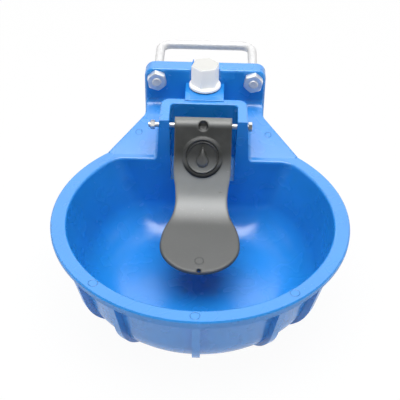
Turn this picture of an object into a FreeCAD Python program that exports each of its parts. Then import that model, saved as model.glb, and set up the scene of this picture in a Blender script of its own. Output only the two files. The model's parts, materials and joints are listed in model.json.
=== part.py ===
import FreeCAD, Part
import math
import os

# Livestock drinking bowl with a nose paddle, a stem valve and a clamp for a post or pipe.
# Millimetres. X is across, +Y points back to the post, +Z is up.
# The origin is on the back plate's rear face, midway between the two clamp bolts.

V = FreeCAD.Vector

# Rim and bowl
rim_diameter = 265.0
rim_width = 13.5
rim_thickness = 4.0
rim_bevel = 1.2
band_height = 6.0
band_set_in = 3.0
band_thickness = 3.0
bowl_depth = 80.0
bowl_foot_radius = 99.5
bowl_foot_fillet = 40.0
back_foot_fillet = 30.0
cavity_corner = 18.0
cavity_corner_low = 34.0
foot_steps = 4
wall = 4.5
rib_angles = (-56.0, -33.5, 0.0, 33.5, 56.0)
rib_thickness = 6.6
rib_height = 6.0

# Places along the depth and height, from the back plate's rear face and the rim's top
rim_centre_to_back = 169.0
back_wall_to_back = 83.5
bolts_above_rim = 49.0

# Shoulders behind the bowl
ridge_width = 6.5
shoulder_slope = 20.0
neck_half_width = 59.0
neck_length = 14.0
shoulder_meeting_angle = 44.0
shoulder_root = 0.84
shoulder_root_fillet = 8.0
shoulder_edge_round = 2.0
neck_corner_round = 8.0
ridge_round = 2.5
skirt_depth = 30.0

# Paddle chamber
chamber_half_width = 41.5
chamber_length = 40.5
chamber_rim = 9.5
chamber_above_rim = 44.0
chamber_draft = 3.0
niche_draft = 1.0
chamber_corner = 9.0
chamber_inner_corner = 4.5
chamber_top_round = 1.6
chamber_foot_round = 4.0
niche_top_round = 1.4
chamber_floor_slope = 14.0

# Valve block and back plate
block_half_width = 19.0
block_above_rim = 45.0
block_wall = 4.5
block_edge_round = 0.8
plate_width = 120.0
plate_depth = 15.0
plate_above_bolts = 11.0
plate_corner = 10.0
plate_web = 4.5
plate_edge_round = 2.5
plate_rib = 4.0

# Post clamp
clamp_rod_diameter = 9.4
clamp_spacing = 95.0
clamp_reach = 56.0
clamp_bend_radius = 12.0
clamp_hole_clearance = 0.8
clamp_nut_flats = 17.0
clamp_nut_height = 8.0
clamp_nut_turns = (40.0, 18.0)
clamp_rod_end = 0.8
clamp_rod_chamfer = 0.8
nut_chamfer_angle = 30.0

# Pivot bolt
pivot_diameter = 5.0
pivot_above_rim = 35.0
pivot_behind_wall = 6.5
pivot_clearance = 0.06
pivot_head_flats = 8.0
pivot_head_height = 3.5
pivot_head_gap = 0.6
pivot_nut_height = 4.0
pivot_nut_gap = 4.0
pivot_bolt_end = 2.0

# Paddle
barrel_radius = 8.0
barrel_side_gap = 5.0
recess_radius = 4.5
recess_depth = 4.2
paddle_thickness = 3.6
paddle_edge_round = 2.0
paddle_lean = 35.0
paddle_upper_length = 54.0
paddle_bend_radius = 55.0
tongue_slope = 10.0
tongue_length = 57.0
waist_half_width = 24.4
tongue_half_width = 36.5
flange_thickness = 2.6
flange_depth_top = 11.0
flange_depth_tip = 5.5
medallion_radius = 18.4
medallion_height = 2.0
medallion_down = 30.0
medallion_rim = 2.6
medallion_recess = 1.0
drop_radius = 5.0
drop_length = 11.5
tip_hole_radius = 2.0
pusher_rib = 5.0
pusher_behind_pivot = -1.5

# Valve
inlet_to_back = 22.2
inlet_radius = 10.48
inlet_bore = 7.0
inlet_above_block = 16.5
inlet_below_skirt = 16.0
tee_radius = 13.0
port_radius = 11.5
stem_below_pivot = 27.0
stem_radius = 2.5
stem_tip_gap = 0.3
nozzle_thread_radius = 8.2
nozzle_flats = 22.0
nozzle_flange = 5.0
nozzle_nose_radius = 7.0
nozzle_nose_length = 11.0
nozzle_passage = 4.8
nozzle_past_wall = 10.0
gasket = 1.5
seat_length = 3.0
seat_radius = 6.6
seat_bore = 4.0
disc_radius = 7.0
disc_thickness = 3.0
washer_thickness = 1.2
clip_thickness = 0.8
guide_length = 6.0
spring_radius = 3.4
spring_wire = 0.9
spring_turns = 4.5
spring_steps = 16
spring_sides = 6
thread_clearance = 0.06
hole_room = 0.3

# Inlet cap
cap_flange_radius = 15.5
cap_flange_height = 3.5
cap_flange_gap = 1.2
cap_flats = 24.0
cap_height = 24.5
cap_room = 1.4
cap_edge_round = 1.6
cap_turn = 75.0

# Places worked out from the sizes above
rim_radius = rim_diameter / 2
rim_y = -rim_centre_to_back
rim_z = -bolts_above_rim
back_wall_y = -back_wall_to_back
plate_front_y = -plate_depth
neck_y = plate_front_y - neck_length
chamber_back_y = back_wall_y + chamber_length
niche_back_y = chamber_back_y - chamber_rim
chamber_top_z = rim_z + chamber_above_rim
block_top_z = rim_z + block_above_rim
skirt_bottom_z = rim_z - skirt_depth
plate_half = plate_width / 2
pivot_y = back_wall_y + pivot_behind_wall
pivot_z = rim_z + pivot_above_rim
stem_z = pivot_z - stem_below_pivot
inlet_y = -inlet_to_back
niche_half_width = chamber_half_width - chamber_rim
meeting_angle = math.radians(shoulder_meeting_angle)
meeting_x = rim_radius * math.sin(meeting_angle)
meeting_y = rim_y + rim_radius * math.cos(meeting_angle)


def box(x0, x1, y0, y1, z0, z1):
    """A box between two corners."""
    return Part.makeBox(x1 - x0, y1 - y0, z1 - z0, V(x0, y0, z0))


def prism(points, direction):
    """A flat outline of straight edges, extruded."""
    return Part.Face(Part.makePolygon(points + points[:1])).extrude(direction)


def outline_prism(edges, direction):
    """A flat outline of lines and arcs, extruded."""
    return Part.Face(Part.Wire(edges)).extrude(direction)


def turned(points, centre, axis=V(0, 0, 1), outward=V(1, 0, 0)):
    """A solid of revolution from (radius, distance along the axis) points."""
    corners = [centre + outward * r + axis * h for r, h in points]
    face = Part.Face(Part.makePolygon(corners + corners[:1]))
    return face.revolve(centre, axis, 360)


def rod(radius, start, end):
    """A round bar between two points."""
    return Part.makeCylinder(radius, (end - start).Length, start, end - start)


def hexagon(flats, start, end, turn=0.0):
    """A hexagonal bar between two points, turned about its own axis."""
    axis = (end - start).normalize()
    side = V(0, 0, 1).cross(axis) if abs(axis.z) < 0.9 else V(1, 0, 0)
    side.normalize()
    other = axis.cross(side)
    corner = flats / math.sqrt(3)
    points = []
    for k in range(6):
        a = math.radians(60 * k + turn)
        points.append(start + side * (corner * math.cos(a)) + other * (corner * math.sin(a)))
    return prism(points, end - start)


def hex_nut(flats, start, end, bore, turn=0.0):
    """A hexagonal nut with both faces chamfered to a round edge, and its bore."""
    axis = (end - start).normalize()
    height = (end - start).Length
    corner = flats / math.sqrt(3)
    drop = (corner - flats / 2) * math.tan(math.radians(nut_chamfer_angle))
    round_bar = turned([(0, 0), (flats / 2, 0), (corner, drop), (corner, height - drop),
                        (flats / 2, height), (0, height)], start, axis,
                       V(0, 0, 1) if abs(axis.z) < 0.9 else V(1, 0, 0))
    nut = hexagon(flats, start, end, turn).common(round_bar)
    return nut.cut(rod(bore, start - axis, end + axis)) if bore else nut


def edges_where(shape, test):
    """The edges whose middle point passes a test."""
    found = []
    for edge in shape.Edges:
        middle = edge.valueAt((edge.FirstParameter + edge.LastParameter) / 2)
        if test(middle, edge):
            found.append(edge)
    return found


def is_upright(edge):
    """True for a straight edge along Z."""
    ends = [vertex.Point for vertex in edge.Vertexes]
    return len(ends) == 2 and (ends[1] - ends[0]).cross(V(0, 0, 1)).Length < 1e-6


# Bowl body, one moulding

def bowl_form(foot_radius, top_radius, depth, foot_fillet, top_z):
    """A tapered round bowl with a rounded foot, its wall carried straight up to top_z."""
    slope = (top_radius - foot_radius) / depth
    high = top_z - rim_z
    form = turned([(0, -depth), (foot_radius, -depth), (top_radius + slope * high, high), (0, high)],
                  V(0, rim_y, rim_z))
    foot = edges_where(form, lambda m, e: m.z < rim_z - depth + 0.01 and len(e.Vertexes) == 1)
    return form.makeFillet(foot_fillet, foot)


def front_of(y, depth, fillet, top_z):
    """The space in front of an upright wall at y, with the wall's foot rounded."""
    low = rim_z - depth
    near = rim_y - rim_diameter
    arc_centre = V(0, y - fillet, low + fillet)
    mid = arc_centre + V(0, math.sin(math.pi / 4), -math.cos(math.pi / 4)) * fillet
    edges = [
        Part.makeLine(V(0, near, low), V(0, y - fillet, low)),
        Part.Arc(V(0, y - fillet, low), mid, V(0, y, low + fillet)).toShape(),
        Part.makeLine(V(0, y, low + fillet), V(0, y, top_z)),
        Part.makeLine(V(0, y, top_z), V(0, near, top_z)),
        Part.makeLine(V(0, near, top_z), V(0, near, low)),
    ]
    space = outline_prism(edges, V(rim_diameter * 2, 0, 0))
    space.translate(V(-rim_diameter, 0, 0))
    return space


def cavity_section(radius, reach, corner, height):
    """A level outline of the cavity: a circle cut by the back wall, its two corners rounded."""
    z = rim_z - bowl_depth + height
    wall_y = rim_y + reach
    corner_x = math.sqrt((radius - corner) ** 2 - (reach - corner) ** 2)
    middle = V(corner_x, wall_y - corner, z)
    outwards = (middle - V(0, rim_y, z)).normalize()
    on_circle = middle + outwards * corner
    between = middle + (outwards + V(0, 1, 0)).normalize() * corner
    on_wall = V(corner_x, wall_y, z)

    def left(point):
        return V(-point.x, point.y, point.z)

    return Part.Wire([
        Part.makeLine(left(on_wall), on_wall),
        Part.Arc(on_wall, between, on_circle).toShape(),
        Part.Arc(on_circle, V(0, rim_y - radius, z), left(on_circle)).toShape(),
        Part.Arc(left(on_circle), left(between), left(on_wall)).toShape(),
    ])


def bowl_cavity():
    """The inside of the bowl, round in front, flat at the back wall, rounded where they meet."""
    inner_radius = rim_radius - rim_width
    slant = math.atan2(inner_radius - bowl_foot_radius, bowl_depth)
    foot_centre = bowl_foot_radius - bowl_foot_fillet * math.tan(math.pi / 4 - slant / 2)
    foot_height = bowl_foot_fillet * (1 - math.sin(slant))
    reach = back_wall_y - rim_y
    foot = []
    for step in range(foot_steps + 1):
        turn = (math.pi / 2 - slant) * step / foot_steps
        height = bowl_foot_fillet * (1 - math.cos(turn))
        back = math.sqrt(foot_height ** 2 - (foot_height - height) ** 2)
        radius = foot_centre + bowl_foot_fillet * math.sin(turn)
        corner = cavity_corner_low + (cavity_corner - cavity_corner_low) * back / foot_height
        foot.append(cavity_section(radius, reach - foot_height + back, corner, height))
    low = Part.makeLoft(foot, True, False)
    wall_foot = bowl_foot_radius + foot_height * math.tan(slant)
    high = Part.makeLoft([cavity_section(wall_foot, reach, cavity_corner, foot_height),
                          cavity_section(inner_radius, reach, cavity_corner, bowl_depth)], True, True)
    return low.fuse(high)


def bowl_outside():
    """The bowl's outer wall, a wall's thickness outside the cavity."""
    inner_radius = rim_radius - rim_width
    slant = math.atan2(inner_radius - bowl_foot_radius, bowl_depth)
    sideways = wall / math.cos(slant)
    foot = bowl_foot_radius + sideways - wall * math.tan(slant)
    form = bowl_form(foot, inner_radius + sideways, bowl_depth + wall, bowl_foot_fillet + wall, rim_z)
    return form.common(front_of(back_wall_y + wall, bowl_depth + wall, back_foot_fillet + wall, rim_z))


def rim_and_band():
    """The flat rim with its turned-down band, hollow behind the band."""
    centre = V(0, rim_y, rim_z)
    band_outer = rim_radius - band_set_in
    drop = -rim_thickness - band_height
    section = [(0, 0), (rim_radius, 0), (rim_radius, -rim_thickness), (band_outer, -rim_thickness),
               (band_outer, drop), (band_outer - band_thickness, drop),
               (band_outer - band_thickness, -rim_thickness), (0, -rim_thickness)]
    ring = turned(section, centre)
    edge = edges_where(ring, lambda m, e: abs(m.z - rim_z) < 0.01 and len(e.Vertexes) == 1)
    ring = ring.makeChamfer(rim_bevel, edge)
    return ring.common(front_of(meeting_y, bowl_depth, back_foot_fillet, rim_z + wall))


def bowl_ribs():
    """Upright ribs round the outside of the bowl, from the band down to the foot."""
    inner_radius = rim_radius - rim_width
    reach = wall + rib_height
    slant = math.atan2(inner_radius - bowl_foot_radius, bowl_depth)
    sideways = reach / math.cos(slant)
    foot = bowl_foot_radius + sideways - wall * math.tan(slant)
    form = bowl_form(foot, inner_radius + sideways, bowl_depth + wall, bowl_foot_fillet + reach, rim_z)
    keep = turned([(0, -bowl_depth - wall), (rim_radius - band_set_in, -bowl_depth - wall),
                   (rim_radius - band_set_in, -rim_thickness), (0, -rim_thickness)], V(0, rim_y, rim_z))
    form = form.common(keep)
    blades = []
    for angle in rib_angles:
        blade = box(-rib_thickness / 2, rib_thickness / 2, rim_y - rim_radius, rim_y,
                    rim_z - bowl_depth - wall, rim_z)
        blade.rotate(V(0, rim_y, rim_z), V(0, 0, 1), angle)
        blades.append(form.common(blade))
    return blades


def shoulder_plan(inset):
    """Corners of the shoulders seen from above, with every side moved in by inset."""
    half = [V(neck_half_width, plate_front_y + wall, 0), V(neck_half_width, neck_y, 0),
            V(meeting_x, meeting_y, 0),
            V(meeting_x * shoulder_root, rim_y + (meeting_y - rim_y) * shoulder_root, 0)]
    runs = [(after - before).normalize() for before, after in zip(half, half[1:])]
    inward = [V(run.y, -run.x, 0) for run in runs]
    right = [half[0] + inward[0] * inset]
    for one, corner, other in zip(inward, half[1:], inward[1:]):
        right.append(corner + (one + other) * (inset / (1 + one.dot(other))))
    right.append(half[-1] + inward[-1] * inset)
    return right + [V(-corner.x, corner.y, 0) for corner in reversed(right)]


def shoulder_height(y):
    """Height of the shoulder's sloping top at a place along the depth."""
    rise = max(0.0, y - back_wall_y - ridge_width)
    return rim_z + rise * math.tan(math.radians(shoulder_slope))


def shoulder_form(inset, sink):
    """Shoulder block: the plan, cut to the ridge, the slope and the fillet at the plate."""
    slope = math.radians(shoulder_slope)
    radius = shoulder_root_fillet + sink
    half_turn = (math.pi / 2 - slope) / 2
    reach = radius * math.tan(half_turn)
    drop = sink / math.cos(slope)
    start_y = plate_front_y - reach * math.cos(slope)
    start = V(0, start_y, shoulder_height(start_y) - drop)
    foot_z = shoulder_height(plate_front_y) - drop
    end = V(0, plate_front_y, foot_z + reach)
    arc_centre = V(0, plate_front_y - radius, foot_z + reach)
    mid = arc_centre + V(0, math.cos(half_turn), -math.sin(half_turn)) * radius
    bend = V(0, back_wall_y + ridge_width, rim_z - drop)
    low = skirt_bottom_z - (1.0 if inset else 0.0)
    near = rim_y
    top_edges = [Part.makeLine(V(0, near, rim_z - drop), bend), Part.makeLine(bend, start)]
    if sink:
        corner = V(0, plate_front_y + wall, shoulder_height(plate_front_y + wall) - drop)
        top_edges[1] = Part.makeLine(bend, corner)
        last = V(0, plate_front_y + wall, low)
        closing = [Part.makeLine(corner, last)]
    else:
        rear = V(0, plate_front_y + wall, end.z)
        last = V(0, plate_front_y + wall, low)
        closing = [Part.Arc(start, mid, end).toShape(), Part.makeLine(end, rear), Part.makeLine(rear, last)]
    edges = top_edges + closing + [Part.makeLine(last, V(0, near, low)),
                                   Part.makeLine(V(0, near, low), V(0, near, rim_z - drop))]
    side_view = outline_prism(edges, V(rim_diameter, 0, 0))
    side_view.translate(V(-rim_radius, 0, 0))
    plan = prism(shoulder_plan(inset), V(0, 0, plate_above_bolts - low))
    plan.translate(V(0, 0, low))
    return plan.common(side_view)


def rounded_shoulders():
    """The shoulder block with its neck corners and its upper outer edges rounded."""
    block = shoulder_form(0.0, 0.0)
    block = block.makeFillet(neck_corner_round, edges_where(
        block, lambda m, e: is_upright(e) and abs(m.y - neck_y) < 0.01))

    def on_outer_edge(m, e):
        high = all(vertex.Point.z > shoulder_height(vertex.Point.y) - 0.01 for vertex in e.Vertexes)
        beside = abs(m.x) > neck_half_width - 0.05
        return high and beside and meeting_y + 1 < m.y < plate_front_y + wall - 0.01

    return block.makeFillet(shoulder_edge_round, edges_where(block, on_outer_edge))


def drafted_u(half_width, back_y, corner, front_y, low_z, high_z, side_draft, back_draft):
    """A block with rounded rear corners whose sides and back lean by their drafts."""
    height = high_z - low_z
    wires = []
    for z, drop in ((low_z, height), (high_z, 0.0)):
        w = half_width + drop * math.tan(math.radians(side_draft))
        b = back_y + drop * math.tan(math.radians(back_draft))
        c = corner
        q = c * (1 - math.sqrt(0.5))
        left = Part.Arc(V(-w + c, b, z), V(-w + q, b - q, z), V(-w, b - c, z)).toShape()
        right = Part.Arc(V(w, b - c, z), V(w - q, b - q, z), V(w - c, b, z)).toShape()
        wires.append(Part.Wire([
            Part.makeLine(V(-w, front_y, z), V(w, front_y, z)),
            Part.makeLine(V(w, front_y, z), V(w, b - c, z)),
            right,
            Part.makeLine(V(w - c, b, z), V(-w + c, b, z)),
            left,
            Part.makeLine(V(-w, b - c, z), V(-w, front_y, z)),
        ]))
    return Part.makeLoft(wires, True, True)


def chamber_side(z):
    """Half the chamber's outside width at a height."""
    return chamber_half_width + (chamber_top_z - z) * math.tan(math.radians(chamber_draft))


def chamber_outside():
    """Outer form of the paddle chamber, from its top rim down to the skirt's lower edge."""
    form = drafted_u(chamber_half_width, chamber_back_y, chamber_corner, back_wall_y - wall,
                     skirt_bottom_z, chamber_top_z, chamber_draft, chamber_draft)
    top = edges_where(form, lambda m, e: abs(m.z - chamber_top_z) < 0.01 and m.y > back_wall_y - wall + 0.5)
    form = form.makeFillet(chamber_top_round, top)
    return form.common(box(-rim_radius, rim_radius, back_wall_y, plate_front_y, skirt_bottom_z,
                           plate_above_bolts))


def niche():
    """The chamber's inside, open to the bowl, with a floor that sheds water forwards."""
    slope = math.radians(chamber_floor_slope)
    front_z = skirt_bottom_z + wall
    form = drafted_u(niche_half_width, niche_back_y, chamber_inner_corner, back_wall_y - wall,
                     skirt_bottom_z, chamber_top_z, -niche_draft, 0.0)
    run = niche_back_y - back_wall_y + wall * 2
    side = [V(-rim_radius, back_wall_y - wall, front_z),
            V(-rim_radius, niche_back_y + wall, front_z + run * math.tan(slope)),
            V(-rim_radius, niche_back_y + wall, chamber_top_z + wall),
            V(-rim_radius, back_wall_y - wall, chamber_top_z + wall)]
    return form.common(prism(side, V(rim_diameter, 0, 0)))


def under_shoulder_pockets():
    """The hollows under the shoulders, left and right of the chamber and the valve block."""
    hollow = shoulder_form(wall, wall)
    hollow = hollow.common(box(-rim_radius, rim_radius, back_wall_y + wall, plate_front_y,
                               skirt_bottom_z - 1, plate_above_bolts))
    spread = (chamber_top_z - skirt_bottom_z) * math.tan(math.radians(chamber_draft))
    middle = chamber_half_width + spread
    hollow = hollow.cut(box(-middle, middle, back_wall_y, chamber_back_y + spread,
                            skirt_bottom_z - 1, plate_above_bolts))
    return hollow.cut(box(-block_half_width, block_half_width, back_wall_y, plate_front_y,
                          skirt_bottom_z - 1, plate_above_bolts))


def plate_form():
    """The back plate with rounded upper corners and rounded front edges."""
    top = plate_above_bolts
    c = plate_corner
    q = c * (1 - math.sqrt(0.5))
    w = plate_half
    y = plate_front_y
    edges = [
        Part.makeLine(V(-w, y, skirt_bottom_z), V(w, y, skirt_bottom_z)),
        Part.makeLine(V(w, y, skirt_bottom_z), V(w, y, top - c)),
        Part.Arc(V(w, y, top - c), V(w - q, y, top - q), V(w - c, y, top)).toShape(),
        Part.makeLine(V(w - c, y, top), V(-w + c, y, top)),
        Part.Arc(V(-w + c, y, top), V(-w + q, y, top - q), V(-w, y, top - c)).toShape(),
        Part.makeLine(V(-w, y, top - c), V(-w, y, skirt_bottom_z)),
    ]
    plate = outline_prism(edges, V(0, plate_depth, 0))
    front = edges_where(plate, lambda m, e: abs(m.y - y) < 0.01 and m.z > skirt_bottom_z + 1)
    return plate.makeFillet(plate_edge_round, front)


def plate_pockets():
    """Hollows in the plate's rear, beside and below the solid strip between the bolts."""
    pockets = []
    depth = plate_depth - plate_web
    boss = clamp_rod_diameter / 2 + clamp_hole_clearance + plate_rib
    inner_x = max(block_half_width, cap_flange_radius) + plate_rib + 1
    outer_x = plate_half - plate_rib - 0.5
    middle_z = (rim_z + skirt_bottom_z) / 2
    for side in (-1, 1):
        x0, x1 = sorted((side * inner_x, side * outer_x))
        for low, high in ((skirt_bottom_z + plate_rib, middle_z - plate_rib / 2),
                          (middle_z + plate_rib / 2, -boss),
                          (-boss + plate_rib, plate_above_bolts - plate_rib)):
            pocket = box(x0, x1, -depth, 1, low, high)
            upright = [e for e in pocket.Edges if abs(e.tangentAt(0).y) > 0.9]
            pocket = pocket.makeFillet(2.0, upright)
            pockets.append(pocket.cut(rod(boss, V(side * clamp_spacing / 2, -plate_depth, 0),
                                          V(side * clamp_spacing / 2, 1, 0))))
    return pockets


def block_form():
    """The block that holds the inlet pipe, between the chamber and the plate."""
    block = box(-block_half_width, block_half_width, chamber_back_y - chamber_rim / 2,
                plate_front_y + 1, skirt_bottom_z, block_top_z)
    top = edges_where(block, lambda m, e: abs(m.z - block_top_z) < 0.01 and m.y < plate_front_y)
    return block.makeFillet(block_edge_round, top)


def block_hollow():
    """The space in the block for the valve body, open below."""
    half = block_half_width - block_wall
    hollow = box(-half, half, chamber_back_y, inlet_y + half, skirt_bottom_z - 1, block_top_z - block_wall)
    upright = edges_where(hollow, lambda m, e: is_upright(e))
    return hollow.makeFillet(2.0, upright)


def deck_with_chamber():
    """Bowl, rim, ribs, shoulders and chamber fused, with the edges between them rounded."""
    deck = bowl_outside().fuse([rim_and_band(), rounded_shoulders()] + bowl_ribs())
    deck = deck.cut(bowl_cavity()).removeSplitter()
    inner_radius = rim_radius - rim_width

    def on_cavity_rim(m, e):
        level = all(abs(vertex.Point.z - rim_z) < 0.01 for vertex in e.Vertexes)
        return level and abs(m.z - rim_z) < 0.01 and m.y < back_wall_y + 0.05 and (
            math.hypot(m.x, m.y - rim_y) < inner_radius + 1)

    deck = deck.makeFillet(ridge_round, edges_where(deck, on_cavity_rim))
    whole = deck.fuse(chamber_outside()).removeSplitter()

    def on_chamber_foot(m, e):
        return (abs(m.z - shoulder_height(m.y)) < 0.3 and back_wall_y + 0.1 < m.y < chamber_back_y + wall
                and abs(m.x) < chamber_side(m.z) + 0.05)

    return whole.makeFillet(chamber_foot_round, edges_where(whole, on_chamber_foot))


def make_bowl_body():
    """The whole moulding: bowl, rim, ribs, shoulders, chamber, block and plate."""
    body = deck_with_chamber().fuse([block_form(), plate_form()])
    hole = clamp_rod_diameter / 2 + clamp_hole_clearance
    cuts = [niche(), block_hollow(), under_shoulder_pockets()] + plate_pockets()
    for side in (-1, 1):
        x = side * clamp_spacing / 2
        cuts.append(rod(hole, V(x, -plate_depth - 1, 0), V(x, 1, 0)))
    side = V(chamber_half_width + pivot_nut_gap, 0, 0)
    cuts.append(rod(pivot_diameter / 2 + pivot_clearance, V(0, pivot_y, pivot_z) - side,
                    V(0, pivot_y, pivot_z) + side))
    cuts.append(rod(nozzle_thread_radius + hole_room, V(0, niche_back_y - 1, stem_z),
                    V(0, chamber_back_y + 1, stem_z)))
    cuts.append(rod(inlet_radius + hole_room, V(0, inlet_y, block_top_z - block_wall - 1),
                    V(0, inlet_y, block_top_z + 1)))
    cuts.append(rod(cap_flange_radius + cap_flange_gap, V(0, inlet_y, block_top_z),
                    V(0, inlet_y, plate_above_bolts + 1)))
    body = body.cut(cuts).removeSplitter()

    def on_niche_rim(m, e):
        return (abs(m.z - chamber_top_z) < 0.01 and abs(m.x) < niche_half_width + 0.05
                and back_wall_y + 0.1 < m.y < niche_back_y + 0.05)

    return body.makeFillet(niche_top_round, edges_where(body, on_niche_rim))


# Post clamp

def make_clamp():
    """The square-bent clamp rod: two legs through the plate and a bar behind the post."""
    x = clamp_spacing / 2
    b = clamp_bend_radius
    q = b * (1 - math.sqrt(0.5))
    front = plate_front_y - clamp_nut_height - clamp_rod_end
    y = clamp_reach
    path = Part.Wire([
        Part.makeLine(V(-x, front, 0), V(-x, y - b, 0)),
        Part.Arc(V(-x, y - b, 0), V(-x + q, y - q, 0), V(-x + b, y, 0)).toShape(),
        Part.makeLine(V(-x + b, y, 0), V(x - b, y, 0)),
        Part.Arc(V(x - b, y, 0), V(x - q, y - q, 0), V(x, y - b, 0)).toShape(),
        Part.makeLine(V(x, y - b, 0), V(x, front, 0)),
    ])
    section = Part.Wire(Part.makeCircle(clamp_rod_diameter / 2, V(-x, front, 0), V(0, 1, 0)))
    rod_solid = path.makePipeShell([section], True, False)
    ends = edges_where(rod_solid, lambda m, e: abs(m.y - front) < 0.01)
    return rod_solid.makeChamfer(clamp_rod_chamfer, ends)


def make_clamp_nuts():
    """Two hexagon nuts on the clamp's threaded ends, each turned differently."""
    nuts = []
    for side, turn in zip((-1, 1), clamp_nut_turns):
        x = side * clamp_spacing / 2
        seat = V(x, plate_front_y, 0)
        nuts.append(hex_nut(clamp_nut_flats, seat, seat - V(0, clamp_nut_height, 0),
                            clamp_rod_diameter / 2 + thread_clearance, turn))
    return Part.makeCompound(nuts)


# Pivot

def make_pivot_bolt():
    """The long hexagon bolt that the paddle hangs on, its head on the right."""
    head_x = chamber_side(pivot_z) + pivot_head_gap
    end_x = -(chamber_side(pivot_z) + pivot_nut_gap + pivot_nut_height + pivot_bolt_end)
    centre = V(head_x, pivot_y, pivot_z)
    shank = rod(pivot_diameter / 2, V(end_x, pivot_y, pivot_z), V(head_x + 0.5, pivot_y, pivot_z))
    head = hex_nut(pivot_head_flats, centre, centre + V(pivot_head_height, 0, 0), 0)
    return shank.fuse(head).removeSplitter()


def make_pivot_nut():
    """The nut on the pivot bolt's left end, a little clear of the cheek."""
    x = -(chamber_side(pivot_z) + pivot_nut_gap)
    return hex_nut(pivot_head_flats, V(x, pivot_y, pivot_z), V(x - pivot_nut_height, pivot_y, pivot_z),
                   pivot_diameter / 2 + thread_clearance, 12.0)


# Paddle

pivot = V(0, pivot_y, pivot_z)
lean = math.radians(paddle_lean)
dip = math.radians(tongue_slope)
plate_normal = V(0, -math.cos(lean), math.sin(lean))
plate_run = V(0, -math.sin(lean), -math.cos(lean))
tongue_normal = V(0, -math.sin(dip), math.cos(dip))
tongue_run = V(0, -math.cos(dip), -math.sin(dip))
plate_top = pivot + plate_normal * barrel_radius
bend_start = plate_top + plate_run * paddle_upper_length
bend_centre = bend_start + plate_normal * paddle_bend_radius
bend_end = bend_centre - tongue_normal * paddle_bend_radius
tip = bend_end + tongue_run * tongue_length
middle_normal = (plate_normal + tongue_normal).normalize()
view_normal = V(0, -math.sin(math.pi / 4), math.cos(math.pi / 4))
view_run = V(0, -math.cos(math.pi / 4), -math.sin(math.pi / 4))
barrel_half = niche_half_width - barrel_side_gap
pusher_y = pivot_y + pusher_behind_pivot


def paddle_slab(depth_top, depth_tip):
    """The paddle's bent plate seen from the side, extruded across, thicker where asked."""
    front = [
        Part.makeLine(plate_top, bend_start),
        Part.Arc(bend_start, bend_centre - middle_normal * paddle_bend_radius, bend_end).toShape(),
        Part.makeLine(bend_end, tip),
    ]
    back_tip = tip - tongue_normal * depth_tip
    back_end = bend_end - tongue_normal * depth_tip
    back_mid = bend_centre - middle_normal * (paddle_bend_radius + (depth_top + depth_tip) / 2)
    back_start = bend_start - plate_normal * depth_top
    back_top = plate_top - plate_normal * depth_top
    back = [
        Part.makeLine(tip, back_tip),
        Part.makeLine(back_tip, back_end),
        Part.Arc(back_end, back_mid, back_start).toShape(),
        Part.makeLine(back_start, back_top),
        Part.makeLine(back_top, plate_top),
    ]
    half = tongue_half_width * 1.5
    slab = outline_prism(front + back, V(half * 2, 0, 0))
    slab.translate(V(-half, 0, 0))
    return slab


def down(point):
    """Distance of a point from the pivot along the face of the outline's plane."""
    return (point - pivot).dot(view_run)


def paddle_outline(inset):
    """The paddle's outline looking square on to it, moved in by inset, as a long prism."""
    tip_s = down(tip) - inset
    wide_s = down(bend_end) + (down(tip) - down(bend_end)) * 0.43
    waist_s = down(bend_start) + (down(bend_end) - down(bend_start)) * 0.4
    straight_s = waist_s * 0.55
    barrel_x = barrel_half - inset
    waist_x = waist_half_width - inset
    wide_x = tongue_half_width - inset
    top_s = -barrel_radius * 3

    def at(x, s):
        return pivot + V(x, 0, 0) + view_run * s + view_normal * -rim_radius

    def s_bend(x0, s0, x1, s1):
        """Two equal arcs that leave and arrive along the paddle's length."""
        run = s1 - s0
        shift = x1 - x0
        radius = (run * run + shift * shift) / (4 * abs(shift))
        quarter = run / 4
        bulge = math.copysign(radius - math.sqrt(radius * radius - quarter * quarter), shift)
        middle = at((x0 + x1) / 2, (s0 + s1) / 2)
        return [Part.Arc(at(x0, s0), at(x0 + bulge, s0 + quarter), middle).toShape(),
                Part.Arc(middle, at(x1 - bulge, s1 - quarter), at(x1, s1)).toShape()]

    right = [Part.makeLine(at(barrel_x, top_s), at(barrel_x, straight_s))]
    right += s_bend(barrel_x, straight_s, waist_x, waist_s)
    right += s_bend(waist_x, waist_s, wide_x, wide_s)
    round_end = ellipse_end(at(0, wide_s), wide_x, tip_s - wide_s)
    left = [Part.makeLine(at(-barrel_x, top_s), at(-barrel_x, straight_s))]
    left += s_bend(-barrel_x, straight_s, -waist_x, waist_s)
    left += s_bend(-waist_x, waist_s, -wide_x, wide_s)
    top = [Part.makeLine(at(-barrel_x, top_s), at(barrel_x, top_s))]
    wire = Part.Wire(Part.__sortEdges__(right + round_end + left + top))
    return Part.Face(wire).extrude(view_normal * (rim_radius * 2))


def ellipse_end(centre, half_width, length):
    """The rounded end of the tongue: half an ellipse about the widest place."""
    across = V(1, 0, 0)
    if half_width >= length:
        ellipse = Part.Ellipse(centre + across * half_width, centre + view_run * length, centre)
        start = 0.0
    else:
        ellipse = Part.Ellipse(centre + view_run * length, centre + across * half_width, centre)
        start = -math.pi / 2
    arc = Part.ArcOfEllipse(ellipse, start, start + math.pi)
    if (arc.value(start + math.pi / 2) - centre).dot(view_run) < 0:
        arc = Part.ArcOfEllipse(ellipse, start + math.pi, start + 2 * math.pi)
    return [arc.toShape()]


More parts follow.
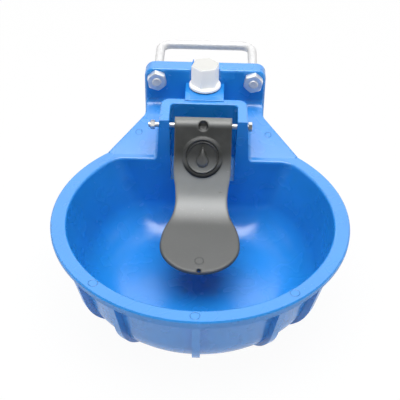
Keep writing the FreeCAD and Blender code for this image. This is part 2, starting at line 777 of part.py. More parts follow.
def medallion():
    """The raised round badge on the paddle: a rim, a sunk field and a plain water drop."""
    centre = plate_top + plate_run * medallion_down
    base = centre - plate_normal * (paddle_thickness / 2)
    face = centre + plate_normal * medallion_height
    badge = rod(medallion_radius, base, face)
    edge = edges_where(badge, lambda m, e: (m - face).dot(plate_normal) > -0.01 and len(e.Vertexes) == 1)
    badge = badge.makeChamfer(0.5, edge)
    field = rod(medallion_radius - medallion_rim, face - plate_normal * medallion_recess, face + plate_normal)
    badge = badge.cut(field)
    low = centre + plate_run * (drop_length * 0.3)
    reach = math.sqrt(drop_length ** 2 - drop_radius ** 2)
    side = math.asin(drop_radius / drop_length)
    point = low - plate_run * drop_length
    right = point + plate_run * (reach * math.cos(side)) + V(reach * math.sin(side), 0, 0)
    left = point + plate_run * (reach * math.cos(side)) - V(reach * math.sin(side), 0, 0)
    edges = [Part.makeLine(point, right), Part.Arc(right, low + plate_run * drop_radius, left).toShape(),
             Part.makeLine(left, point)]
    drop = outline_prism(edges, plate_normal * (medallion_height - medallion_recess * 0.3))
    return badge.fuse(drop)


def pusher():
    """The rib and pad behind the paddle that press the valve stem."""
    back_skin = -paddle_thickness / 2
    foot = plate_top + plate_run * (paddle_upper_length * 0.95) + plate_normal * back_skin
    head = plate_top + plate_run * barrel_radius + plate_normal * back_skin
    pad_half = stem_radius * 2.4
    low_z = stem_z - pad_half
    side = -pusher_rib / 2
    corners = [V(side, pusher_y, pivot_z), V(side, pusher_y, low_z), V(side, foot.y, foot.z),
               V(side, head.y, head.z)]
    rib = prism(corners, V(pusher_rib, 0, 0))
    pad = box(-pad_half, pad_half, pusher_y - flange_thickness, pusher_y, low_z, stem_z + pad_half)
    return rib.fuse(pad)


def above_face(point):
    """Height of a point above the paddle's front face, which is straight, bent and straight."""
    if point.z > bend_start.z - 0.01:
        return (point - plate_top).dot(plate_normal)
    if point.y < bend_end.y + 0.01:
        return (point - bend_end).dot(tongue_normal)
    return paddle_bend_radius - math.hypot(point.y - bend_centre.y, point.z - bend_centre.z)


def make_paddle():
    """The paddle: barrel, bent plate with side flanges, medallion and pusher."""
    inner = paddle_outline(flange_thickness)
    thick = paddle_slab(flange_depth_top, flange_depth_tip).common(paddle_outline(0.0))
    front = edges_where(thick, lambda m, e: abs(above_face(m)) < 0.02 and abs(m.x) > 1)
    thick = thick.makeFillet(paddle_edge_round, front)
    skin = paddle_slab(paddle_thickness, paddle_thickness).common(inner)
    flanges = thick.cut(inner)
    barrel = rod(barrel_radius, pivot - V(barrel_half, 0, 0), pivot + V(barrel_half, 0, 0))
    solid = skin.fuse([flanges, barrel, medallion(), pusher()])
    bore = rod(pivot_diameter / 2 + pivot_clearance, pivot - V(rim_radius, 0, 0), pivot + V(rim_radius, 0, 0))
    recess = rod(recess_radius, plate_top - plate_normal * recess_depth, plate_top + plate_normal * 3)
    hole_at = tip - tongue_run * (flange_thickness + tip_hole_radius)
    hole = rod(tip_hole_radius, hole_at - tongue_normal * barrel_radius, hole_at + tongue_normal * 2)
    return solid.cut([bore, recess, hole]).removeSplitter()


# Valve and inlet

wall_back_y = chamber_back_y
port_end_y = wall_back_y + gasket
flange_back_y = niche_back_y - gasket
nozzle_end_y = wall_back_y + nozzle_past_wall
disc_front_y = nozzle_end_y
nose_front_y = flange_back_y - nozzle_flange - nozzle_nose_length
Y_AXIS = V(0, 1, 0)
Z_AXIS = V(0, 0, 1)


def on_stem(y):
    """A point on the stem's axis."""
    return V(0, y, stem_z)


def tube(outer, inner, y0, y1):
    """A round tube on the stem's axis."""
    return rod(outer, on_stem(y0), on_stem(y1)).cut(rod(inner, on_stem(y0 - 1), on_stem(y1 + 1)))


def make_valve_body():
    """The upright inlet pipe with its side port, threaded at both ends."""
    top_z = block_top_z + inlet_above_block
    shoulder_z = block_top_z - block_wall
    low_shoulder_z = stem_z - tee_radius - 3
    low_z = skirt_bottom_z - inlet_below_skirt
    pipe = turned([(0, low_z), (inlet_radius - 1, low_z), (inlet_radius, low_z + 1),
                   (inlet_radius, low_shoulder_z), (tee_radius, low_shoulder_z + 2),
                   (tee_radius, shoulder_z), (inlet_radius, shoulder_z), (inlet_radius, top_z - 1),
                   (inlet_radius - 1, top_z), (0, top_z)], V(0, inlet_y, 0))
    port = rod(port_radius, on_stem(port_end_y), on_stem(inlet_y))
    body = pipe.fuse(port)
    bore = rod(inlet_bore, V(0, inlet_y, low_z - 1), V(0, inlet_y, top_z + 1))
    side_bore = rod(nozzle_thread_radius + thread_clearance, on_stem(port_end_y - 1), on_stem(inlet_y))
    spring_seat = rod(spring_radius + spring_wire, on_stem(inlet_y), on_stem(inlet_y + inlet_bore + 1.5))
    return body.cut([bore, side_bore, spring_seat]).removeSplitter()


def make_nozzle():
    """The screwed-in valve nozzle: nose with water ports, hexagon flange and threaded shank."""
    flange_front_y = flange_back_y - nozzle_flange
    flange = hex_nut(nozzle_flats, on_stem(flange_back_y), on_stem(flange_front_y), 0)
    shank = rod(nozzle_thread_radius, on_stem(flange_back_y - 0.5), on_stem(nozzle_end_y))
    nose = turned([(0, nose_front_y), (nozzle_nose_radius - 2, nose_front_y),
                   (nozzle_nose_radius, nose_front_y + 3), (nozzle_nose_radius, flange_front_y + 0.5),
                   (0, flange_front_y + 0.5)], V(0, 0, stem_z), Y_AXIS, V(1, 0, 0))
    solid = flange.fuse([shank, nose])
    guide_end = nose_front_y + guide_length
    cuts = [rod(stem_radius + 2.0, on_stem(nose_front_y - 1), on_stem(guide_end)),
            rod(nozzle_passage, on_stem(guide_end - 0.01), on_stem(nozzle_end_y + 1)),
            rod(seat_radius, on_stem(nozzle_end_y - seat_length), on_stem(nozzle_end_y + 1))]
    port_y = guide_end + 2.5
    for angle in (150, 210):
        a = math.radians(angle)
        out = V(math.sin(a), 0, math.cos(a)) * (nozzle_nose_radius + 1)
        cuts.append(rod(2.0, on_stem(port_y), on_stem(port_y) + out))
    return solid.cut(cuts).removeSplitter()


def make_stem():
    """The valve stem: domed tip, shaft, seat shoulder and a tail for the spring."""
    tip_y = pusher_y + stem_tip_gap
    r = stem_radius
    dome = Part.makeSphere(r * 1.25, on_stem(tip_y + r * 1.25))
    shaft = rod(r, on_stem(tip_y), on_stem(disc_front_y + disc_thickness))
    front = rod(r, on_stem(tip_y), on_stem(tip_y + r * 1.25)).common(dome)
    rest = rod(r, on_stem(tip_y + r * 1.25), on_stem(disc_front_y + disc_thickness))
    tail = rod(r * 0.7, on_stem(disc_front_y + disc_thickness),
               on_stem(disc_front_y + disc_thickness + washer_thickness + clip_thickness + 2.5))
    groove_y = disc_front_y + disc_thickness + washer_thickness
    groove = tube(r, r * 0.7 - 0.35, groove_y, groove_y + clip_thickness)
    return front.common(shaft).fuse([rest, tail]).cut(groove).removeSplitter()


def make_clip():
    """The open spring clip in the stem's groove, behind the disc's washer."""
    y = disc_front_y + disc_thickness + washer_thickness
    ring = tube(stem_radius * 0.7 + 1.1, stem_radius * 0.7 - 0.35, y, y + clip_thickness)
    mouth = box(-0.8, 0.8, y - 1, y + clip_thickness + 1, stem_z, stem_z + stem_radius * 2)
    return ring.cut(mouth)


def make_spring():
    """The coil that closes the valve, between the disc's washer and the pipe's far wall."""
    start_y = disc_front_y + disc_thickness + washer_thickness + spring_wire / 2
    end_y = inlet_y + inlet_bore + 1.5 - spring_wire / 2
    steps = round(spring_turns * spring_steps)
    sections = []
    for step in range(steps + 1):
        turn = 2 * math.pi * step / spring_steps
        outward = V(math.cos(turn), 0, math.sin(turn))
        centre = on_stem(start_y + (end_y - start_y) * step / steps) + outward * spring_radius
        ring = []
        for corner in range(spring_sides):
            a = 2 * math.pi * corner / spring_sides
            ring.append(centre + (outward * math.cos(a) + Y_AXIS * math.sin(a)) * (spring_wire / 2))
        sections.append(Part.makePolygon(ring + ring[:1]))
    return Part.makeLoft(sections, True, True)


def make_cap():
    """The flanged hexagon cap screwed on the pipe's upper end."""
    base_z = block_top_z + gasket * 0.8
    base = V(0, inlet_y, base_z)
    hex_base = base + V(0, 0, cap_flange_height - 0.5)
    top = base + V(0, 0, cap_height)
    flange = turned([(0, 0), (cap_flange_radius - 0.4, 0), (cap_flange_radius, 0.4),
                     (cap_flange_radius, cap_flange_height - 1.2), (cap_flange_radius - 1.2, cap_flange_height),
                     (0, cap_flange_height)], base)
    hood = hexagon(cap_flats, hex_base, top, cap_turn)
    hood = hood.makeFillet(cap_edge_round, edges_where(hood, lambda m, e: m.z > top.z - 0.01))
    bore = rod(inlet_radius + thread_clearance, base - Z_AXIS,
               V(0, inlet_y, block_top_z + inlet_above_block + cap_room))
    return flange.fuse(hood).cut(bore).removeSplitter()


def make_cap_gasket():
    """The flat ring under the cap's flange."""
    low = V(0, inlet_y, block_top_z)
    high = low + V(0, 0, gasket * 0.8)
    return rod(cap_flange_radius - 1.5, low, high).cut(rod(inlet_radius + 0.1, low - Z_AXIS, high + Z_AXIS))


parts = {
    "bowl_body": make_bowl_body(),
    "u_bolt": make_clamp(),
    "u_bolt_nuts": make_clamp_nuts(),
    "pivot_bolt": make_pivot_bolt(),
    "pivot_nut": make_pivot_nut(),
    "paddle": make_paddle(),
    "inlet_cap": make_cap(),
    "cap_gasket": make_cap_gasket(),
    "valve_body": make_valve_body(),
    "valve_nozzle": make_nozzle(),
    "nozzle_gasket": tube(nozzle_flats / 2 - 0.5, nozzle_thread_radius + 0.1, flange_back_y, niche_back_y),
    "port_gasket": tube(port_radius, nozzle_thread_radius + 0.1, wall_back_y, port_end_y),
    "seat_ring": tube(seat_radius - 0.02, seat_bore, nozzle_end_y - seat_length, nozzle_end_y),
    "stem_guide": tube(stem_radius + 1.98, stem_radius + 0.06, nose_front_y, nose_front_y + guide_length),
    "valve_stem": make_stem(),
    "seal_disc": tube(disc_radius, stem_radius + 0.02, disc_front_y, disc_front_y + disc_thickness),
    "disc_washer": tube(disc_radius - 1.0, stem_radius * 0.7 + 0.02, disc_front_y + disc_thickness,
                        disc_front_y + disc_thickness + washer_thickness),
    "stem_clip": make_clip(),
    "valve_spring": make_spring(),
}

os.makedirs("parts", exist_ok=True)
for name, shape in parts.items():
    shape.exportStep("parts/" + name + ".step")
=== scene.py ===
import json
import math

import bpy
import numpy as np
from mathutils import Matrix, Vector


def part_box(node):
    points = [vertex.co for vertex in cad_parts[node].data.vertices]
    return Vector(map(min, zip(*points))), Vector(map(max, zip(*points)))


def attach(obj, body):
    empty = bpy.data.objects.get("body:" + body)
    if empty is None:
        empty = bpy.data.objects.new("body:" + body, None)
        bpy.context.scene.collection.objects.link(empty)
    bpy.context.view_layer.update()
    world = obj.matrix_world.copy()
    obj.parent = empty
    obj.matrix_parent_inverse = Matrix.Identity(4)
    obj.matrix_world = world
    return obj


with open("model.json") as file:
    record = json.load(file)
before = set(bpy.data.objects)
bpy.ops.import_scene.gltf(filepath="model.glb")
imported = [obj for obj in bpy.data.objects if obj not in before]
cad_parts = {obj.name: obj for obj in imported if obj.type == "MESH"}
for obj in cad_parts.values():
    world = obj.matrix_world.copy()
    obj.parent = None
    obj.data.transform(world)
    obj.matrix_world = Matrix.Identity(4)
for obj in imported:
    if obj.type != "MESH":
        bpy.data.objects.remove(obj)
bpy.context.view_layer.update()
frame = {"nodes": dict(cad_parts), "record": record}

MM = 0.001

# Camera: where the photograph was taken from
VIEW_TARGET = Vector((-0.9, -146.5, -49.0)) * MM
VIEW_DISTANCE = 828.0 * MM
VIEW_ELEVATION = math.radians(37.83)
VIEW_AZIMUTH = math.radians(0.9)
VIEW_ROLL = math.radians(1.02)
FOCAL_PIXELS = 910.8
IMAGE_PIXELS = 400.0
SENSOR_WIDTH = 36.0
NEAREST_SEEN = 0.01
FARTHEST_SEEN = 20.0

# Circles of the moulds' ejector pins on the rim, the shoulders and the paddle, in millimetres
BOWL_EJECTORS = [(-84.8, -260.2, -49.0), (-0.9, -294.3, -49.0), (78.8, -265.1, -49.0),
                 (-63.6, -52.3, -37.6), (63.3, -51.9, -37.5)]
PADDLE_EJECTORS = [(0.0, -190.8, -83.5)]
EJECTOR_RADIUS = 3.9
EJECTOR_LINE = 0.55

# The paddle's upper plate leans out and down from the pivot, and the badge sits on it, in millimetres
PIVOT = Vector((0.0, -77.0, -14.0))
PLATE_LEAN = math.radians(35.0)
PLATE_NORMAL = Vector((0.0, -math.cos(PLATE_LEAN), math.sin(PLATE_LEAN)))
PLATE_RUN = Vector((0.0, -math.sin(PLATE_LEAN), -math.cos(PLATE_LEAN)))
BADGE_CENTRE = PIVOT + PLATE_NORMAL * 8.0 + PLATE_RUN * 30.0

# Heights on the paddle between which its look eases from one state to the next, in millimetres; the paler
# barrel and plate are painted highlights, and the darker tongue below the bend is painted shade
BARREL_PAINTED_HIGHLIGHT = (-12.0, -7.0)
PLATE_PAINTED_HIGHLIGHT = (-29.0, -52.0)
BEND_POLISHED = (-52.0, -60.0)
BELOW_BEND = (-77.0, -67.0)

# Painted shadow round the badge's lower edge: distances from its centre and heights from it, in millimetres
PAINTED_SHADOW_STARTS = (14.0, 15.5)
PAINTED_SHADOW_ENDS = (18.5, 20.0)
PAINTED_SHADOW_HEIGHTS = (-10.0, 3.0)

# Heights over which the cap's crown turns greyer, in millimetres
CROWN_GREYER = (20.8, 21.6)

# Foot of the gate stub on the plate's top edge, in millimetres
GATE_PLACE = (-12.4, -1.8, 10.8)

# Room: the floor's glow and the world's light, and how dark the world's reflection is in front
FLOOR_REACH = 6.0
FLOOR_GLOW = 0.96
WORLD_LIGHT = 0.13
WORLD_TURNS = (-0.35, 0.35)
WORLD_FRONT = 0.05

# Lamps: place from the bowl's middle, width and depth in metres, then watts
LIT_CENTRE = Vector((0.0, -0.15, -0.05))
LAMPS = {
    "overhead": ((0.0, -0.10, 1.15), 1.2, 0.95, 19.5),
    "behind": ((0.0, 1.5, 1.2), 2.4, 1.2, 8.0),
    "left": ((-1.4, -0.5, 0.1), 1.0, 0.4, 2.0),
    "right": ((1.4, -0.5, 0.1), 1.0, 0.4, 2.0),
}


def place_camera():
    """Camera at the photograph's angle: a ray back from the target, then a small roll."""
    e, a, r = VIEW_ELEVATION, VIEW_AZIMUTH, VIEW_ROLL
    back = Vector((math.sin(a) * math.cos(e), -math.cos(a) * math.cos(e), math.sin(e)))
    right = Vector((math.cos(a), math.sin(a), 0.0))
    up = back.cross(right)
    rolled_right = right * math.cos(r) + up * math.sin(r)
    rolled_up = up * math.cos(r) - right * math.sin(r)
    data = bpy.data.cameras.new("camera")
    data.sensor_width = SENSOR_WIDTH
    data.lens = FOCAL_PIXELS / IMAGE_PIXELS * SENSOR_WIDTH
    data.clip_start = NEAREST_SEEN
    data.clip_end = FARTHEST_SEEN
    camera = bpy.data.objects.new("camera", data)
    turn = Matrix((rolled_right, rolled_up, back)).transposed()
    camera.matrix_world = Matrix.Translation(VIEW_TARGET + back * VIEW_DISTANCE) @ turn.to_4x4()
    bpy.context.scene.collection.objects.link(camera)
    bpy.context.scene.camera = camera


# Nodes

def feed(tree, node, inputs):
    """Links a node's inputs to outputs, or sets them to plain values."""
    for key, value in inputs.items():
        if isinstance(value, bpy.types.NodeSocket):
            tree.links.new(value, node.inputs[key])
        else:
            node.inputs[key].default_value = value


def add_node(tree, kind, inputs, **settings):
    """A new node with these settings and inputs."""
    node = tree.nodes.new(kind)
    for key, setting in settings.items():
        setattr(node, key, setting)
    feed(tree, node, inputs)
    return node


def new_material(name):
    """A node material, with its tree and its Principled shader."""
    material = bpy.data.materials.new(name)
    material.use_nodes = True
    return material, material.node_tree, material.node_tree.nodes["Principled BSDF"]


def object_coordinates(tree):
    """Each point's place in metres."""
    return tree.nodes.new("ShaderNodeTexCoord").outputs["Object"]


def height_of(tree, at):
    """Each point's height, in millimetres."""
    apart = add_node(tree, "ShaderNodeSeparateXYZ", {"Vector": at})
    return combine(tree, "DIVIDE", apart.outputs["Z"], MM)


def distance_from(tree, at, place):
    """Each point's distance from a place, both in millimetres."""
    far = add_node(tree, "ShaderNodeVectorMath", {0: at, 1: Vector(place) * MM}, operation="DISTANCE")
    return combine(tree, "DIVIDE", far.outputs["Value"], MM)


def noise(tree, at, scale, detail=3.0, roughness=0.5):
    """A noise pattern's value, in cells per metre."""
    inputs = {"Vector": at, "Scale": scale, "Detail": detail, "Roughness": roughness}
    return add_node(tree, "ShaderNodeTexNoise", inputs).outputs["Fac"]


def ramp(tree, value, low, high):
    """A colour between two, each given as (place, colour) along the value."""
    node = add_node(tree, "ShaderNodeValToRGB", {"Fac": value})
    for element, (place, colour) in zip(node.color_ramp.elements, (low, high)):
        element.position, element.color = place, colour
    return node.outputs["Color"]


def tinted(tree, colour, tint, amount):
    """A colour mixed with a tint by an amount from 0 to 1."""
    inputs = {"Factor": amount, "A": colour, "B": tint}
    return add_node(tree, "ShaderNodeMix", inputs, data_type="RGBA").outputs["Result"]


def scaled(tree, value, low, high):
    """A 0 to 1 value spread evenly between two numbers."""
    inputs = {"Value": value, "To Min": low, "To Max": high}
    return add_node(tree, "ShaderNodeMapRange", inputs).outputs["Result"]


def spread(tree, value, bounds, low, high):
    """A value eased from low to high as the given one goes from the first bound to the second."""
    inputs = {"Value": value, "From Min": bounds[0], "From Max": bounds[1], "To Min": low, "To Max": high}
    node = add_node(tree, "ShaderNodeMapRange", inputs, interpolation_type="SMOOTHSTEP")
    return node.outputs["Result"]


def combine(tree, operation, first, second=0.0):
    """Two values joined by a sum, product or other operation; the second may be a number."""
    return add_node(tree, "ShaderNodeMath", {0: first, 1: second}, operation=operation).outputs["Value"]


def bump(tree, shader, layers, edge_radius=None):
    """Bump from (height value, depth) layers, one over the other, on softened edges, in millimetres."""
    last = None
    if edge_radius:
        last = add_node(tree, "ShaderNodeBevel", {"Radius": edge_radius * MM}, samples=8).outputs["Normal"]
    for height, depth in layers:
        inputs = {"Strength": 1.0, "Distance": depth * MM, "Height": height}
        if last:
            inputs["Normal"] = last
        last = add_node(tree, "ShaderNodeBump", inputs).outputs["Normal"]
    feed(tree, shader, {"Normal": last})


def grey(level):
    """A neutral colour."""
    return (level, level, level, 1.0)


# Materials

def ejector_rings(tree, at, places):
    """Thin circles that the mould's ejector pins leave: 1 on a ring's line, 0 elsewhere."""
    total = None
    for place in places:
        off_line = combine(tree, "SUBTRACT", distance_from(tree, at, place), EJECTOR_RADIUS)
        ring = spread(tree, combine(tree, "ABSOLUTE", off_line), (0.0, EJECTOR_LINE), 1.0, 0.0)
        total = combine(tree, "ADD", total, ring) if total else ring
    return total


def blue_plastic():
    """Glossy blue moulded plastic: flow clouds, ejector rings darkened as painted shade, a patchy haze, a fine
    orange peel.
    """
    material, tree, shader = new_material("blue moulded plastic")
    at = object_coordinates(tree)
    flow = noise(tree, at, 18.0, 4.0, 0.55)
    colour = ramp(tree, flow, (0.3, (0.014, 0.235, 0.67, 1.0)), (0.7, (0.018, 0.262, 0.74, 1.0)))
    rings = ejector_rings(tree, at, BOWL_EJECTORS)
    # The ejector rings are darkened as painted shade in their grooves
    colour = tinted(tree, colour, (0.007, 0.12, 0.39, 1.0), combine(tree, "MULTIPLY", rings, 0.55))
    haze = scaled(tree, noise(tree, at, 60.0, 1.0), 0.22, 0.31)
    feed(tree, shader, {"Base Color": colour, "Roughness": haze, "IOR": 1.75})
    peel, waves = noise(tree, at, 900.0, 2.0), noise(tree, at, 120.0, 2.0)
    bump(tree, shader, [(peel, 0.006), (waves, 0.05), (rings, -0.3)])
    return material


def outside_painted_shadow(tree, at, height):
    """Painted shadow in a crescent on the badge's lower edge: 0 in the crescent, 1 elsewhere."""
    distance = distance_from(tree, at, BADGE_CENTRE)
    band = combine(tree, "MULTIPLY", spread(tree, distance, PAINTED_SHADOW_STARTS, 0.0, 1.0),
                   spread(tree, distance, PAINTED_SHADOW_ENDS, 1.0, 0.0))
    low, high = (BADGE_CENTRE.z + step for step in PAINTED_SHADOW_HEIGHTS)
    crescent = combine(tree, "MULTIPLY", band, spread(tree, height, (low, high), 1.0, 0.0))
    return spread(tree, crescent, (0.0, 1.0), 1.0, 0.0)


def paddle_plastic():
    """Dark grained plastic, mottled and specked, paler on the barrel and plate as painted highlights, darker on
    the tongue as painted shade, with a painted shadow under the badge.
    """
    material, tree, shader = new_material("dark grained plastic")
    at = object_coordinates(tree)
    height = height_of(tree, at)
    cloud = noise(tree, at, 35.0, 5.0, 0.6)
    # 0 in the painted shadow under the badge, 1 elsewhere
    unshadowed = outside_painted_shadow(tree, at, height)

    # Paler on the barrel and the plate: painted highlights
    painted_highlight = combine(tree, "ADD", spread(tree, height, PLATE_PAINTED_HIGHLIGHT, 0.0, 0.90),
                     spread(tree, height, BARREL_PAINTED_HIGHLIGHT, 0.0, 0.55))
    specks = spread(tree, noise(tree, at, 800.0, 1.0), (0.68, 0.74), 0.0, 0.45)
    specks = combine(tree, "MULTIPLY", specks, painted_highlight)
    tone_and_painted_light = combine(tree, "ADD", combine(tree, "ADD", painted_highlight, specks), scaled(tree, cloud, -0.08, 0.18))
    # Darker below the bend: painted shade on the tongue
    tone_and_painted_light = combine(tree, "MULTIPLY", tone_and_painted_light, spread(tree, height, BELOW_BEND, 0.20, 1.0))
    # Darkened to black in the painted shadow under the badge
    tone_and_painted_light = combine(tree, "MULTIPLY", tone_and_painted_light, unshadowed)
    colour = ramp(tree, tone_and_painted_light, (0.0, (0.012, 0.013, 0.012, 1.0)), (1.0, (0.270, 0.278, 0.268, 1.0)))

    # Rougher in the painted shadow under the badge
    in_painted_shadow = spread(tree, unshadowed, (0.0, 1.0), 0.5, 0.0)
    polish = combine(tree, "MULTIPLY", spread(tree, height, BELOW_BEND, 0.0, 0.09),
                     spread(tree, height, BEND_POLISHED, 0.0, 1.0))
    gloss = combine(tree, "ADD", scaled(tree, cloud, 0.32, 0.44), in_painted_shadow)
    gloss = combine(tree, "SUBTRACT", gloss, polish)
    feed(tree, shader, {"Base Color": colour, "Roughness": gloss, "IOR": 1.6})

    grain, waves = noise(tree, at, 2200.0, 2.0), noise(tree, at, 160.0)
    rings = ejector_rings(tree, at, PADDLE_EJECTORS)
    bump(tree, shader, [(grain, 0.03), (waves, 0.06), (rings, -0.3)], edge_radius=3.5)
    return material


def cap_plastic():
    """White satin plastic, faintly mottled, greyer on its crown, with a faint glow that is painted light."""
    material, tree, shader = new_material("white satin plastic")
    at = object_coordinates(tree)
    colour = ramp(tree, noise(tree, at, 60.0), (0.3, (0.83, 0.83, 0.82, 1.0)), (0.7, (0.86, 0.86, 0.84, 1.0)))
    greyer_crown = spread(tree, height_of(tree, at), CROWN_GREYER, 0.0, 0.9)
    colour = tinted(tree, colour, (0.42, 0.42, 0.40, 1.0), greyer_crown)
    # The emission is painted light: a glow that lifts the cap's shaded sides
    feed(tree, shader, {"Base Color": colour, "Roughness": 0.42,
                        "Emission Color": (1.0, 0.99, 0.96, 1.0), "Emission Strength": 0.17})
    bump(tree, shader, [(noise(tree, at, 1500.0, 2.0), 0.02)])
    return material


def zinc(name, level, rough_low, rough_high, speckle, metallic=1.0):
    """Bare or zinc-plated steel: grey with spangle cells and a rough clouding."""
    material, tree, shader = new_material(name)
    at = object_coordinates(tree)
    cells = add_node(tree, "ShaderNodeTexVoronoi", {"Scale": speckle, "Vector": at})
    cloud = noise(tree, at, speckle * 0.5, 4.0, 0.6)
    spangle = {"Factor": 0.35, "A": cloud, "B": cells.outputs["Distance"]}
    spangle = add_node(tree, "ShaderNodeMix", spangle, data_type="FLOAT").outputs["Result"]
    colour = ramp(tree, spangle, (0.2, grey(level * 0.82)), (0.8, grey(level)))
    gloss = scaled(tree, cloud, rough_low, rough_high)
    feed(tree, shader, {"Base Color": colour, "Roughness": gloss, "Metallic": metallic})
    bump(tree, shader, [(cloud, 0.04)])
    return material


def brass():
    """Turned brass with a dull tarnish and a fine grain."""
    material, tree, shader = new_material("turned brass")
    at = object_coordinates(tree)
    tarnish = noise(tree, at, 90.0, 4.0, 0.6)
    colour = ramp(tree, tarnish, (0.3, (0.50, 0.32, 0.10, 1.0)), (0.75, (0.72, 0.50, 0.20, 1.0)))
    gloss = scaled(tree, tarnish, 0.22, 0.45)
    feed(tree, shader, {"Base Color": colour, "Roughness": gloss, "Metallic": 1.0})
    bump(tree, shader, [(noise(tree, at, 700.0, 2.0), 0.02)])
    return material


def dull(name, low, high, roughness, grain):
    """Rubber or bearing plastic: two close tones and a fine grain."""
    material, tree, shader = new_material(name)
    at = object_coordinates(tree)
    colour = ramp(tree, noise(tree, at, 80.0), (0.3, low), (0.7, high))
    feed(tree, shader, {"Base Color": colour, "Roughness": roughness})
    bump(tree, shader, [(noise(tree, at, grain, 2.0), 0.03)])
    return material


def dress_nodes():
    """Gives each CAD node the material of its slot, and the clamp rod its duller zinc."""
    finishes = {
        "blue_plastic": blue_plastic(),
        "paddle_plastic": paddle_plastic(),
        "cap_plastic": cap_plastic(),
        "galvanised_steel": zinc("bright zinc plate", 0.86, 0.34, 0.50, 400.0, 0.8),
        "stainless_steel": zinc("turned steel", 0.62, 0.26, 0.38, 600.0),
        "spring_steel": zinc("drawn steel wire", 0.60, 0.25, 0.35, 900.0),
        "brass": brass(),
        "seal_rubber": dull("black rubber", grey(0.012), grey(0.022), 0.6, 1200.0),
        "bearing_plastic": dull("ivory plastic", (0.72, 0.71, 0.66, 1.0), (0.8, 0.79, 0.75, 1.0),
                                0.45, 900.0),
    }
    for entry in frame["record"]["subparts"]:
        node = frame["nodes"][entry["node"]]
        node.data.materials.clear()
        node.data.materials.append(finishes[entry["material_slot"]])
    clamp_rod = frame["nodes"]["u_bolt"].data.materials
    clamp_rod[0] = zinc("dull hot-dipped zinc", 0.72, 0.50, 0.62, 300.0, 0.45)
    return finishes


# Pieces

def mesh_object(name, corners, faces, material):
    """An object at the origin with one mesh, in metres."""
    mesh = bpy.data.meshes.new(name)
    mesh.from_pydata(corners, [], faces)
    mesh.materials.append(material)
    item = bpy.data.objects.new(name, mesh)
    bpy.context.scene.collection.objects.link(item)
    return item


def grid_piece(name, points, ends, material, body):
    """A closed mesh over a grid of points, in millimetres, that rides on a body.

    Its columns close on themselves. Its rows do so too where it has no ends, and otherwise
    one point closes the first row and another the last.
    """
    rows, columns = points.shape[:2]
    index = np.arange(rows * columns).reshape(rows, columns)
    below, above = (index[:-1], index[1:]) if ends else (index, np.roll(index, -1, axis=0))
    quads = np.stack([below, np.roll(below, -1, axis=1), np.roll(above, -1, axis=1), above], axis=-1)
    faces = quads.reshape(-1, 4).tolist()
    corners = points.reshape(-1, 3).tolist()
    if ends:
        first, last = index[0], index[-1]
        faces += [[b, a, len(corners)] for a, b in zip(first, np.roll(first, -1))]
        faces += [[a, b, len(corners) + 1] for a, b in zip(last, np.roll(last, -1))]
        corners += [list(end) for end in ends]
    piece = mesh_object(name, (np.array(corners) * MM).tolist(), faces, material)
    piece.data.polygons.foreach_set("use_smooth", [True] * len(faces))
    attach(piece, body)
    return piece


def on_badge(sideways, downwards, outwards):
    """Points from the badge's centre: sideways, down the plate and out of it, in millimetres."""
    centre, run, normal = (np.array(value) for value in (BADGE_CENTRE, PLATE_RUN, PLATE_NORMAL))
    across = np.array((1.0, 0.0, 0.0))
    return (centre + sideways[..., None] * across + downwards[..., None] * run
            + outwards[..., None] * normal)


def badge_drop(material):
    """The badge's plain water drop as a dome.

    Round its low centre the outline's distance at the angle a from the drop's point is
    R / cos(max(acos(R / L) - |a|, 0)): an arc of radius R below and two straight sides to a
    point at the distance L above. Rings of this outline, shrunk by s from 1 to 0, rise by
    H sqrt(1 - s^2), and a point at the foot and one at the top close the dome.
    """
    radius, length, rise, foot, low = 6.2, 14.5, 2.4, 0.5, 3.6
    turn, climb = np.meshgrid(np.linspace(np.pi, -np.pi, 96, endpoint=False),
                              np.linspace(0.0, np.pi / 2, 20)[:-1])
    limit = math.acos(radius / length)
    reach = radius / np.cos(np.maximum(limit - np.abs(turn), 0.0)) * np.cos(climb)
    points = on_badge(reach * np.sin(turn), low - reach * np.cos(turn), foot + rise * np.sin(climb))
    ends = on_badge(np.zeros(2), np.full(2, low), np.array((foot, foot + rise))).tolist()
    return grid_piece("badge_drop", points, ends, material, "paddle")


def badge_inner_ring(material):
    """A raised bead round the badge: a circle of radius b carried round a circle of radius R."""
    ring_radius, bead, raised = 14.2, 0.9, 1.0
    around, turn = np.meshgrid(np.linspace(0.0, 2 * np.pi, 120, endpoint=False),
                               np.linspace(0.0, -2 * np.pi, 16, endpoint=False))
    reach = ring_radius + bead * np.cos(turn)
    points = on_badge(reach * np.cos(around), reach * np.sin(around), raised + bead * np.sin(turn))
    return grid_piece("badge_inner_ring", points, None, material, "paddle")


def gate_stub(material):
    """The moulding's gate stub on the plate's top edge, beside the cap.

    Rings of |x/a|^4 + |y/b|^4 = 1 that shrink as 1 - 0.8 t and lean sideways as t^2 with the
    height t from 0 at the plate to 1 at the tip, with a point at each end to close them.
    """
    half_wide, half_deep, tall, lean, narrowing = 1.0, 1.4, 4.2, 0.6, 0.8
    foot_x, foot_y, foot_z = GATE_PLACE
    angle, height = np.meshgrid(np.linspace(0.0, 2 * np.pi, 32, endpoint=False),
                                np.linspace(0.0, 1.0, 14))
    reach = (np.abs(np.cos(angle)) ** 4 + np.abs(np.sin(angle)) ** 4) ** -0.25
    reach = reach * (1.0 - narrowing * height)
    x = foot_x + half_wide * reach * np.cos(angle) + lean * height ** 2
    y = foot_y + half_deep * reach * np.sin(angle)
    z = foot_z + tall * height
    ends = (GATE_PLACE, (foot_x + lean, foot_y, foot_z + tall))
    return grid_piece("gate_stub", np.stack([x, y, z], axis=-1), ends, material, "root")


# Room

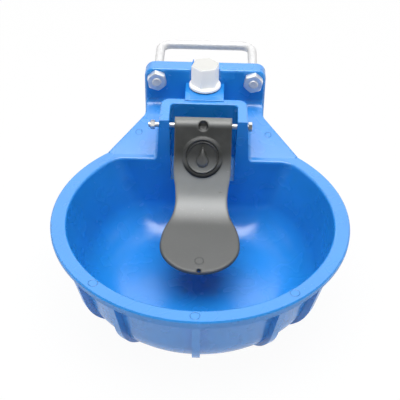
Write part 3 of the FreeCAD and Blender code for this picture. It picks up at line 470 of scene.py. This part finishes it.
def white_floor():
    """A floor under the bowl that the camera and reflections see nearly white."""
    z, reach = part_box("bowl_body")[0].z, FLOOR_REACH
    material, tree, shader = new_material("white floor")
    feed(tree, shader, {"Base Color": grey(0.9), "Roughness": 0.9})
    path = tree.nodes.new("ShaderNodeLightPath")
    seen = combine(tree, "MAXIMUM", path.outputs["Is Camera Ray"], path.outputs["Is Glossy Ray"])
    glow = add_node(tree, "ShaderNodeEmission", {"Strength": 1.0})
    blend = add_node(tree, "ShaderNodeMixShader", {"Fac": combine(tree, "MULTIPLY", seen, FLOOR_GLOW),
                                                   1: shader.outputs["BSDF"], 2: glow.outputs["Emission"]})
    feed(tree, tree.nodes["Material Output"], {"Surface": blend.outputs["Shader"]})
    corners = [(-reach, -reach, z), (reach, -reach, z), (reach, reach, z), (-reach, reach, z)]
    mesh_object("floor", corners, [(0, 1, 2, 3)], material)


def pale_world():
    """A dim world that the camera sees white, and reflections see white behind and dark in front."""
    world = bpy.data.worlds.new("studio")
    bpy.context.scene.world = world
    world.use_nodes = True
    tree = world.node_tree
    path = tree.nodes.new("ShaderNodeLightPath")
    direction = tree.nodes.new("ShaderNodeTexCoord").outputs["Generated"]
    side = add_node(tree, "ShaderNodeSeparateXYZ", {"Vector": direction})
    rearward = spread(tree, side.outputs["Y"], WORLD_TURNS, WORLD_FRONT, 1.0)
    lit = combine(tree, "MULTIPLY", path.outputs["Is Glossy Ray"], rearward)
    seen = combine(tree, "MAXIMUM", path.outputs["Is Camera Ray"], lit)
    feed(tree, tree.nodes["Background"], {"Color": grey(1.0), "Strength": scaled(tree, seen, WORLD_LIGHT, 1.0)})


def add_lamp(name, offset, width, depth, power):
    """A soft rectangular lamp that faces the bowl's middle."""
    data = bpy.data.lights.new(name, "AREA")
    data.shape = "RECTANGLE"
    data.size = width
    data.size_y = depth
    data.energy = power
    lamp = bpy.data.objects.new(name, data)
    lamp.location = LIT_CENTRE + Vector(offset)
    lamp.rotation_euler = (-Vector(offset)).to_track_quat("-Z", "Y").to_euler()
    bpy.context.scene.collection.objects.link(lamp)


place_camera()
finishes = dress_nodes()
badge_drop(finishes["paddle_plastic"])
badge_inner_ring(finishes["paddle_plastic"])
gate_stub(finishes["blue_plastic"])
white_floor()
pale_world()
for lamp_name, (offset, width, depth, power) in LAMPS.items():
    add_lamp(lamp_name, offset, width, depth, power)

bpy.context.scene.view_settings.view_transform = "Standard"
